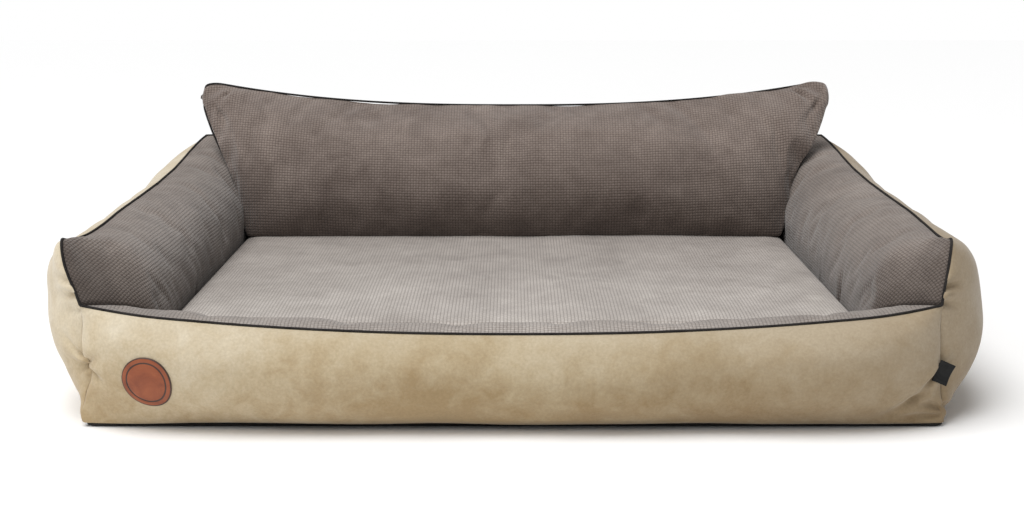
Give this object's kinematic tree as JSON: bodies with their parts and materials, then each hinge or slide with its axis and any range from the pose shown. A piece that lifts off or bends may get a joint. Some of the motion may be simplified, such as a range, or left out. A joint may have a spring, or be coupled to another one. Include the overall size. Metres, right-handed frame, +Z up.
{
  "type": "dog sofa bed",
  "caption": "Pet sofa bed: padded walls on a flat base around a loose zipped mattress, with a loose zipped back pillow.",
  "frame": {"origin": "middle of the bed's footprint, on the floor", "axes": "+Z up, +X along the bed's width to the right of someone facing it, front towards -Y"},
  "size_m": [1.209, 0.9149, 0.3682],
  "materials": {
    "base_canvas": "matt coated canvas",
    "lining": "matt non-woven cloth",
    "suede_cover": "mottled napped suede cloth",
    "woven_cover": "coarse basket weave",
    "polyester_filling": "loose fibre",
    "foam": "open-cell foam",
    "piping": "matt cloth over cord",
    "patch_leather": "smooth leather, dark cut edge",
    "tag_cloth": "woven ribbon",
    "zip_tape": "woven tape",
    "zip_coil": "nylon coil",
    "zip_metal": "satin black"
  },
  "bodies": {
    "tub": {"base_panel": "base_canvas", "floor_lining": "lining", "front_outer_panel": "suede_cover", "front_inner_panel": "woven_cover", "front_fill": "polyester_filling", "front_rim_piping": "piping", "rear_outer_panel": "suede_cover", "rear_inner_panel": "woven_cover", "rear_fill": "polyester_filling", "rear_rim_piping": "piping", "left_outer_panel": "suede_cover", "left_inner_panel": "woven_cover", "left_fill": "polyester_filling", "left_rim_piping": "piping", "right_outer_panel": "suede_cover", "right_inner_panel": "woven_cover", "right_fill": "polyester_filling", "right_rim_piping": "piping", "leather_patch": "patch_leather", "side_tag": "tag_cloth"},
    "mattress": {"mattress_core": "foam", "mattress_top_panel": "woven_cover", "mattress_side_band": "woven_cover", "mattress_bottom_panel": "lining", "mattress_zip_tape": "zip_tape", "mattress_zip_chain": "zip_coil"},
    "mattress_slider": {"mattress_zip_slider": "zip_metal", "mattress_zip_pull": "zip_metal"},
    "pillow": {"pillow_fill": "polyester_filling", "pillow_back_panel": "woven_cover", "pillow_front_panel": "woven_cover", "pillow_piping": "piping", "pillow_zip_tape": "zip_tape", "pillow_zip_chain": "zip_coil"},
    "pillow_slider": {"pillow_zip_slider": "zip_metal", "pillow_zip_pull": "zip_metal"}
  },
  "joints": [
    {"name": "mattress_lift", "type": "slide", "parent": "tub", "child": "mattress", "axis": [0, 0, 1], "range_m": [0, 0.3]},
    {"name": "pillow_lift", "type": "slide", "parent": "mattress", "child": "pillow", "axis": [0, 0, 1], "range_m": [0, 0.25]},
    {"name": "mattress_zip", "type": "slide", "parent": "mattress", "child": "mattress_slider", "axis": [1, 0, 0], "range_m": [-0.7014, 0]},
    {"name": "pillow_zip", "type": "slide", "parent": "pillow", "child": "pillow_slider", "axis": [1, 0, 0], "range_m": [-0.7014, 0]}
  ]
}
